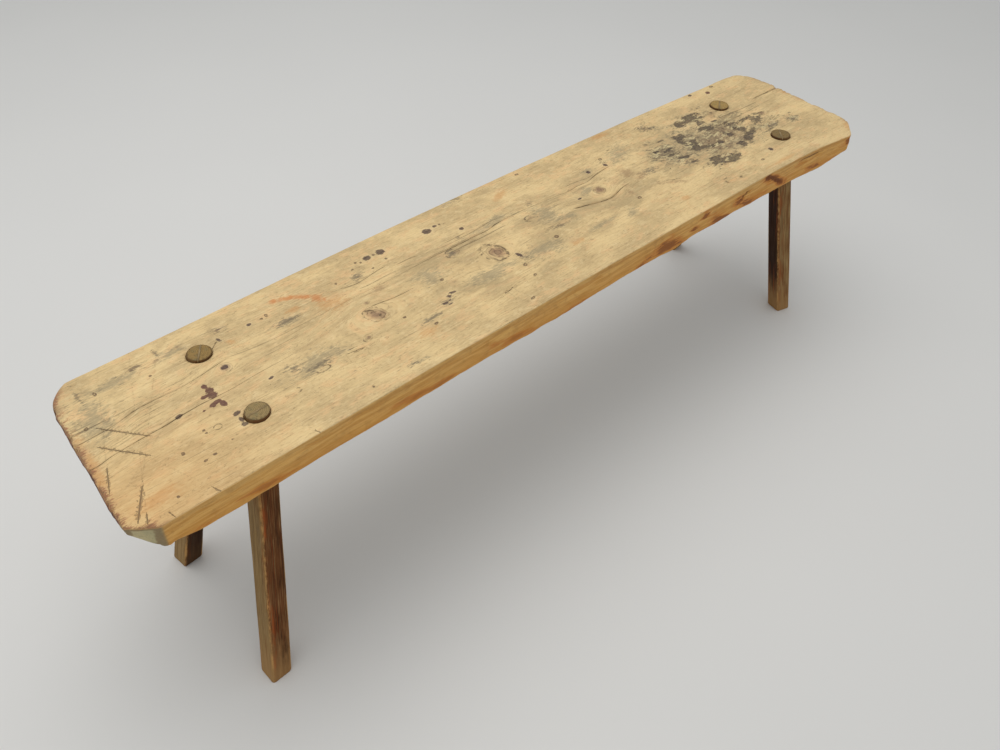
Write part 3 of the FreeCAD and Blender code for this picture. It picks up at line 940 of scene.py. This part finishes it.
def seat_finish():
    """Bare weathered pine: growth lines, fibres, knots, stains, splits, cuts and worn rims."""
    mat = Finish("weathered_pine_seat")
    step, times, add, less = mat.step, mat.times, mat.add, mat.less
    most, least, off, tint, over = mat.most, mat.least, mat.off, mat.tint, mat.over
    splits, cuts = mat.field("splits"), mat.field("cuts")
    dark, red, knot, scorched = mat.field("spots")
    grey, orange, brown, rim = mat.field("smudges")
    fleck, burnt, hairline, sooty = mat.field("marks")
    top, end, clip, _ = mat.field("sides")
    rust, groove, resin, under = mat.field("front")
    blotch = mat.grained(120, 60, 60, detail=4, coarse=0.6)
    patch = mat.grained(30, 17, 17, detail=5, coarse=0.65)
    fibre = mat.grained(44, 1.5, 1.5, detail=3, coarse=0.65)
    streak = mat.grained(90, 4.6, 4.6, detail=3, coarse=0.6)
    speck = mat.grained(5.5, 3, 3, detail=3, coarse=0.65)
    grit = mat.grained(9, 2.6, 2.6, detail=4, coarse=0.7, distortion=0.3)
    char = mat.grained(15, 8.5, 8.5, detail=4, coarse=0.62, distortion=0.4)

    # Growth rings: the distance from the pith, which runs below the plank, in ring widths.
    x, y, height = mat.position()
    wander = off(mat.grained(240, 60, 60, detail=3), 40)
    pith_y, pith_height, ring_width = -14, 330, 3.6
    across = add(y, add(wander, -pith_y))
    depth = less(height, pith_height)
    distance = mat.math("SQRT", add(times(across, across), times(depth, depth)))
    ring = mat.math("FRACT", times(distance, 1 / ring_width))
    late = times(step(ring, 0.4, 0.86), step(ring, 0.9, 1, 1, 0))

    mat.base = mat.colour(step(blotch, 0.36, 0.64), shade(203, 175, 126), shade(229, 199, 144))
    mottle = mat.grained(17, 13, 13, detail=4, coarse=0.6, distortion=0.5)
    grimy = step(add(times(y, 0.003), blotch), 0.25, 0.6, 0.35, 1)
    over(times(step(patch, 0.5, 0.68, 0, 0.5), grimy), 186, 161, 118)
    over(step(patch, 0.5, 0.34, 0, 0.6), 233, 190, 136)
    over(times(step(mottle, 0.54, 0.74, 0, 0.34), grimy), 180, 155, 113)
    over(step(mottle, 0.46, 0.32, 0, 0.38), 238, 212, 160)
    over(times(late, step(streak, 0.35, 0.65, 0.03, 0.17)), 170, 132, 84)
    over(step(fibre, 0.52, 0.74, 0, 0.26), 146, 116, 78)
    over(step(fibre, 0.46, 0.3, 0, 0.3), 236, 212, 162)
    over(step(streak, 0.58, 0.72, 0, 0.18), 158, 128, 88)
    over(step(grit, 0.54, 0.7, 0, 0.6), 150, 122, 88)
    over(step(grit, 0.45, 0.3, 0, 0.4), 242, 216, 166)

    # Warmer towards the front left corner.
    warm = times(step(x, -520, -830), step(y, 60, -150))
    over(times(warm, 0.42), 214, 160, 96)

    # A grey haze in soft patches from the middle to the scorched place, and cream between them.
    haze_place = times(step(x, -420, -160), step(y, 100, 40))
    haze_place = times(haze_place, step(x, 800, 640))
    haze_place = times(haze_place, step(y, -130, -70))
    haze = step(add(blotch, off(patch, 0.35)), 0.53, 0.4, 0, 0.34)
    over(times(haze, haze_place), 162, 143, 106)
    cream = step(add(blotch, off(patch, 0.35)), 0.54, 0.64, 0, 0.3)
    over(cream, 238, 208, 152)

    # Fine hairlines along the grain, mostly beside the long splits and towards the left end.
    lines = mat.grained(150, 1.7, 1.7, detail=2, coarse=0.5)
    lines = step(add(lines, times(most(hairline, 0), 0.10)), 0.67, 0.73)
    over(times(lines, step(patch, 0.4, 0.55, 0.2, 0.6)), 118, 92, 62)

    def smudge(field, low, high, tone, amount, grain):
        """A stain: its field, ragged by patches and grain, turned into an amount."""
        ragged = add(off(patch, 2.2), off(grit, grain))
        over(times(step(add(field, ragged), low, high), amount), tone)

    smudge(grey, 0, 0.9, shade(138, 128, 104), 0.5, 2.6)
    smudge(brown, 0.1, 0.8, shade(140, 104, 76), 0.42, 1.8)
    smudge(orange, 0.1, 0.9, shade(212, 146, 82), 0.42, 1.6)
    smudge(resin, -0.1, 0.6, shade(204, 122, 62), 0.62, 1.2)
    smudge(sooty, 0.05, 0.8, shade(104, 90, 74), 0.54, 4.2)

    # The chopped and blackened place near the right end: dark hollows among pale raised bits.
    soot = step(add(scorched, off(patch, 1.6)), 0.05, 0.6)
    over(times(soot, step(grit, 0.4, 0.6, 0.1, 0.55)), 134, 114, 88)
    pale = times(soot, step(char, 0.48, 0.4))
    over(times(pale, 0.8), 222, 202, 152)
    hollow = step(add(char, add(times(most(burnt, -0.3), 0.3), off(speck, 0.2))), 0.52, 0.61)
    hollow = times(hollow, step(add(scorched, off(patch, 0.8)), -0.1, 0.15))
    hollow = times(hollow, step(grit, 0.62, 0.42, 0.35, 1))
    bits = times(soot, step(add(grit, off(speck, 0.4)), 0.53, 0.62))
    over(times(bits, 0.6), 104, 90, 70)
    soot_colour = mat.colour(step(speck, 0.35, 0.65), shade(62, 52, 50), shade(106, 92, 78))
    over(times(hollow, step(grit, 0.35, 0.65, 0.95, 0.55)), soot_colour)

    # Knots: uneven rings round their middles and a darker, greyish core.
    knot_place = add(knot, add(off(patch, 0.9), off(speck, 0.35)))
    knot_ring = mat.math("SINE", times(knot_place, 21))
    knot_lines = times(step(knot_ring, 0.3, 1), step(knot, -0.2, 0.15))
    knot_lines = times(knot_lines, step(char, 0.44, 0.56, 0.1, 1))
    over(step(knot_place, 0, 0.6, 0, 0.5), 146, 110, 86)
    over(step(knot_place, 0.4, 0.8, 0, 0.28), 104, 80, 70)
    over(times(knot_lines, 0.55), 98, 74, 54)

    # Shallow dints, seen as thin broken outlines.
    dint = mat.math("ABSOLUTE", add(mat.field("grain")[3], add(off(speck, 0.4), off(patch, 0.8))))
    dint = times(step(dint, 0, 0.24, 1, 0), step(char, 0.45, 0.57, 0, 0.9))
    over(dint, 108, 88, 62)

    # Small flecks: faint rings with a ragged rim.
    ragged = add(off(speck, 0.9), off(fibre, 0.5))
    fleck_place = add(fleck, ragged)
    fleck_ring = times(step(fleck_place, -0.25, 0.1), step(fleck_place, 0.25, 0.6, 1, 0.35))
    over(times(fleck_ring, 0.82), 98, 74, 54)

    # Dark and red-brown spots with ragged rims and a paler halo.
    dark_place = add(dark, ragged)
    halo = times(step(dark_place, -0.7, -0.1), step(dark_place, -0.1, 0.1, 1, 0))
    over(times(halo, 0.25), 228, 202, 156)
    dark_amount = times(step(dark_place, 0, 0.24), step(grit, 0.4, 0.65, 0.95, 0.75))
    over(dark_amount, mat.colour(step(char, 0.4, 0.6), shade(78, 60, 55), shade(98, 80, 70)))
    red_spot = times(step(add(red, ragged), 0, 0.2), step(grit, 0.4, 0.65, 0.96, 0.8))
    over(red_spot, mat.colour(step(speck, 0.35, 0.65), shade(92, 58, 50), shade(112, 72, 60)))

    # Splits and cuts, darkest in their middles, the cuts with teeth that follow the fibres. The dark
    # middles of the splits are painted shade.
    nearest_split = least(*[mat.math("ABSOLUTE", value) for value in splits])
    split_middle_shade = times(step(add(nearest_split, off(speck, 2.4)), 0.4, 1.3, 1, 0), top)
    split_middle_shade = times(split_middle_shade, step(patch, 0.42, 0.55, 0.3, 0.95))
    stained = times(step(add(nearest_split, off(grit, 8)), 1, 8, 1, 0), top)
    nearest_cut = least(*[mat.math("ABSOLUTE", value) for value in cuts])
    teeth = mat.grained(3.6, 4.4, 4.4, detail=1)
    cut_mark = step(add(nearest_cut, off(teeth, 9)), 0.3, 1.3, 0.62, 0)
    cut_mark = times(most(cut_mark, step(nearest_cut, 0.2, 0.7, 1, 0)), top)
    over(times(stained, 0.2), 140, 112, 78)
    # Painted shade in the middles of the splits.
    over(times(split_middle_shade, 0.8), 84, 62, 44)
    over(times(cut_mark, 0.72), 98, 74, 54)

    # Sides: browner, with a greyish upper band, rust streaks and dark pockets low down.
    low_side = step(height, 434, 462, 1, 0)
    side = mat.colour(step(streak, 0.38, 0.62), shade(236, 184, 104), shade(214, 156, 78))
    side = tint(side, step(fibre, 0.48, 0.74, 0, 0.28), 150, 106, 58)
    band = step(add(height, off(patch, 22)), 466, 474)
    side = tint(side, times(band, 0.18), 150, 128, 92)
    side = tint(side, step(mottle, 0.5, 0.7, 0, 0.3), 168, 116, 58)
    side = tint(side, times(low_side, 0.5), 212, 144, 56)
    rust_place = mat.grained(70, 60, 13, detail=5, coarse=0.65, distortion=0.8)
    rusty = add(times(most(rust, -0.6), 0.2), times(low_side, 0.03))
    rusty = add(rusty, step(x, 60, 200, 0, 0.08))
    rusted = step(add(rust_place, rusty), 0.5, 0.62)
    side = tint(side, times(rusted, 0.7), 204, 126, 52)
    deep = times(step(add(rust_place, rusty), 0.63, 0.72), step(x, 40, 180, 0.35, 0.8))
    side = tint(side, deep, 140, 80, 34)
    side = tint(side, step(add(groove, off(speck, 0.8)), 0, 0.4, 0, 0.7), 118, 66, 32)
    ends = mat.colour(step(add(patch, off(grit, 0.8)), 0.35, 0.65), shade(150, 104, 78),
                      shade(92, 58, 46))
    side = mat.colour(end, side, ends)
    sawn = mat.colour(step(patch, 0.35, 0.65), shade(188, 176, 134), shade(206, 190, 144))
    sawn = tint(sawn, step(grit, 0.5, 0.7, 0, 0.5), 150, 134, 98)
    # A darker rim round the clipped facet: brown at its ends and low edge, and painted shade along its
    # top edge.
    facet_ends = most(step(x, -821, -830), step(x, -812, -803))
    facet_rim = most(facet_ends, step(height, 456, 448), step(height, 474, 478))
    facet_rim = step(add(facet_rim, off(patch, 1.6)), 0.45, 0.95)
    sawn = tint(sawn, times(facet_rim, 0.62), 116, 82, 50)
    side = mat.colour(clip, side, sawn)
    grey_under = mat.colour(step(patch, 0.35, 0.65), shade(158, 132, 92), shade(132, 106, 70))
    side = mat.colour(under, side, grey_under)
    flank = step(top, 0, 1, 1, 0)
    over(flank, side)

    # Worn rims: red-brown and dark nicks at the two ends.
    left_end = step(x, -804, -776, 1, 0)
    right_end = step(x, 812, 822)
    near_rim = step(add(rim, add(off(patch, 36), off(grit, 44))), 0, 8, 1, 0)
    rim_wear = times(near_rim, most(left_end, times(right_end, 0.4)))
    nicks = mat.colour(step(grit, 0.4, 0.58), shade(156, 98, 68), shade(82, 50, 42))
    over(times(times(rim_wear, top), 0.82), nicks)

    roughness = add(off(patch, 0.3), step(late, 0, 1, 0.72, 0.6))
    relief = add(times(fibre, 0.5), times(late, 0.25))
    relief = add(relief, add(times(streak, 0.5), times(grit, -0.7)))
    relief = less(relief, add(times(split_middle_shade, 1.8), times(cut_mark, 1.3)))
    relief = less(relief, add(times(dark_amount, 0.4), times(hollow, 1.6)))
    relief = add(relief, add(times(knot_lines, 0.4), times(pale, 0.9)))
    return mat.finish(mat.base, roughness, [(patch, 0.0016), (relief, 0.0009)],
                      {"Specular IOR Level": 0.28})


def leg_finish(name):
    """Hewn pine gone red-brown: fibres along the leg, paler arrises from wear and a painted highlight,
    grey end grain, and painted shade on faces in shadow and down the tenon's gap.
    """
    leg = LEGS[name]
    mat = Finish("hewn_pine_" + name)
    step, times, add, less = mat.step, mat.times, mat.add, mat.less
    most, off, tint, over = mat.most, mat.off, mat.tint, mat.over
    age_and_shade, arris, head, foot = mat.field("age_and_shade")
    radius, in_seat, height, _ = mat.field("tenon")
    fibre = mat.grained(1.2, 1.2, 90, detail=3, coarse=0.6)
    streak = mat.grained(4.5, 4.5, 170, detail=3, coarse=0.6)
    patch = mat.grained(16, 16, 60, detail=4, coarse=0.6)
    speck = mat.grained(3, 3, 8, detail=3, coarse=0.6)
    x, y, _ = mat.position()
    # How dark each face is: weathering mixed with painted shade on faces in shadow, the darkest near
    # black.
    age_shade_mix = add(age_and_shade, add(off(streak, 0.9), off(patch, 0.8)))
    mat.base = mat.colour(step(age_shade_mix, 0.1, 0.55), shade(150, 120, 76), shade(116, 70, 34))
    over(step(age_shade_mix, 0.55, 1), 48, 24, 9)
    over(step(fibre, 0.5, 0.7, 0, 0.6), 58, 38, 23)
    pale = times(step(fibre, 0.48, 0.32), step(age_shade_mix, 0.5, 1, 0.45, 0.06))
    over(pale, 204, 170, 116)
    red = times(step(streak, 0.56, 0.68), step(age_and_shade, 0.1, 0.6))
    over(times(red, 0.55), 166, 84, 34)
    beside = add(x, off(streak, 12))
    glow = times(step(beside, -19, -16.5), step(beside, -14, -4, 1, 0))
    glow = times(times(glow, step(y, -12, -16)), step(patch, 0.45, 0.6))
    glow = times(glow, step(fibre, 0.62, 0.4, 0.5, 1))
    over(times(glow, leg["glow"]), 162, 82, 36)
    # Paler arrises: partly wear, partly a painted highlight along the edge.
    worn = times(arris, step(add(patch, off(speck, 0.5)), 0.38, 0.6))
    over(times(worn, 0.85), 208, 160, 98)
    low = step(add(height, off(patch, 0.3)), 0, 0.24, leg["foot_wear"], 0)
    over(low, 168, 128, 80)

    # End grain: growth rings round a pith beside the middle, and fine pores.
    aside = add(x, 6)
    below = less(y, 9)
    distance = mat.math("SQRT", add(times(aside, aside), times(below, below)))
    ring = mat.math("SINE", add(times(distance, 2.4), times(patch, 5)))
    end_colour = mat.colour(step(ring, -0.4, 0.9, 0, 0.4), shade(*leg["end"]),
                            shade(*[value * 0.68 for value in leg["end"]]))
    end_colour = tint(end_colour, step(speck, 0.5, 0.7, 0, 0.5),
                      *[value * 0.55 for value in leg["end"]])
    end_colour = tint(end_colour, step(patch, 0.5, 0.66, 0, 0.45), 112, 110, 84)
    edge = step(add(radius, off(speck, 0.25)), 0.84, 1)
    end_colour = tint(end_colour, times(edge, 0.6), 70, 52, 36)
    # Painted shade on the tenon's side inside the seat, seen down the gap round it.
    tenon_gap_shade = step(in_seat, 0.4, 0.6)
    over(times(tenon_gap_shade, 0.8), 98, 70, 42)
    over(most(head, times(foot, 0.7)), end_colour)

    relief = add(times(fibre, 0.6), add(streak, times(times(head, ring), 0.25)))
    relief = less(relief, times(step(speck, 0.5, 0.75), times(head, 0.6)))
    roughness = step(patch, 0.3, 0.7, 0.66, 0.86)
    return mat.finish(mat.base, roughness, [(patch, 0.001), (relief, 0.0007)],
                      {"Specular IOR Level": 0.15})


def wedge_finish():
    """Darkened end grain of a small split wedge."""
    mat = Finish("wedge_end_grain")
    fibre = mat.grained(1.1, 1.1, 30, detail=3, coarse=0.6)
    patch = mat.grained(7, 7, 20, detail=3, coarse=0.6)
    colour = mat.colour(mat.step(patch, 0.35, 0.65), shade(158, 134, 94), shade(134, 112, 76))
    colour = mat.tint(colour, mat.step(fibre, 0.5, 0.72, 0, 0.4), 104, 84, 56)
    return mat.finish(colour, mat.step(patch, 0.3, 0.7, 0.6, 0.8), [(fibre, 0.0006)],
                      {"Specular IOR Level": 0.3})


def floor_finish():
    """A plain pale floor."""
    mat = Finish("pale_floor")
    place = mat.node("TexCoord", {}).outputs["Object"]
    tone = mat.noise(place, 1.5, 2)
    colour = mat.colour(tone, shade(222, 220, 216), shade(226, 224, 220))
    return mat.finish(colour, mat.step(tone, 0.0, 1.0, 0.85, 0.95), [(tone, 0.0001)])


# ------------------------------------------------------------------ assembly

seat = make_seat()
seat_fields(seat)
seat.data.materials.clear()
seat.data.materials.append(seat_finish())
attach(seat, "root")
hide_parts("seat_plank")

wedge_material = wedge_finish()
for number, name in enumerate(LEGS):
    leg = make_leg(name, number)
    leg.data.materials.clear()
    leg.data.materials.append(leg_finish(name))
    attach(leg, "root")
    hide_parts("leg_" + name)
    wedge = make_wedge(name)
    wedge.data.materials.append(wedge_material)
    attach(wedge, "root")
    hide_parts("wedge_" + name)

# ------------------------------------------------------------------ floor, light and camera

half = 12.0
floor_mesh = bpy.data.meshes.new("floor")
floor_mesh.from_pydata([(-half, -half, 0), (half, -half, 0), (half, half, 0), (-half, half, 0)], [],
                       [(0, 1, 2, 3)])
floor = bpy.data.objects.new("floor", floor_mesh)
bpy.context.scene.collection.objects.link(floor)
floor_mesh.materials.append(floor_finish())

scene = bpy.context.scene
scene.view_settings.view_transform = "Standard"
world = bpy.data.worlds.new("studio")
world.use_nodes = True
world.node_tree.nodes["Background"].inputs["Color"].default_value = (0.95, 0.98, 1.0, 1.0)
world.node_tree.nodes["Background"].inputs["Strength"].default_value = 0.5
scene.world = world


def soft_light(name, place, aim, size, power):
    """A large square light at a place, facing a point."""
    light = bpy.data.lights.new(name, "AREA")
    light.size = size
    light.energy = power
    lamp = bpy.data.objects.new(name, light)
    direction = np.array(place, float) - np.array(aim, float)
    lamp.location = place
    lamp.rotation_euler = (math.atan2(math.hypot(direction[0], direction[1]), direction[2]), 0,
                           math.atan2(direction[0], -direction[1]))
    scene.collection.objects.link(lamp)


soft_light("overhead", (-0.5, 0.4, 3.4), (0.0, 0.0, 0.4), 3.2, 62)

# The camera stands at the front left, looking down along the bench, with its head tipped a little.
CAMERA_PLACE = (-0.95734, -0.96685, 1.3978)
CAMERA_TURN, CAMERA_HEIGHT, CAMERA_TIP = (math.radians(a) for a in (-43.5248, 43.3824, 1.8389))
back = np.array([math.sin(CAMERA_TURN) * math.cos(CAMERA_HEIGHT),
                 -math.cos(CAMERA_TURN) * math.cos(CAMERA_HEIGHT), math.sin(CAMERA_HEIGHT)])
level = np.cross((0, 0, 1), back)
level /= np.linalg.norm(level)
upright = np.cross(back, level)
right = level * math.cos(CAMERA_TIP) + upright * math.sin(CAMERA_TIP)
up = upright * math.cos(CAMERA_TIP) - level * math.sin(CAMERA_TIP)
lens = bpy.data.cameras.new("camera")
lens.lens = 32.4
lens.sensor_width = 36
camera = bpy.data.objects.new("camera", lens)
pose = np.eye(4)
pose[:3, 0], pose[:3, 1], pose[:3, 2], pose[:3, 3] = right, up, back, CAMERA_PLACE
camera.matrix_world = Matrix(pose)
scene.collection.objects.link(camera)
scene.camera = camera
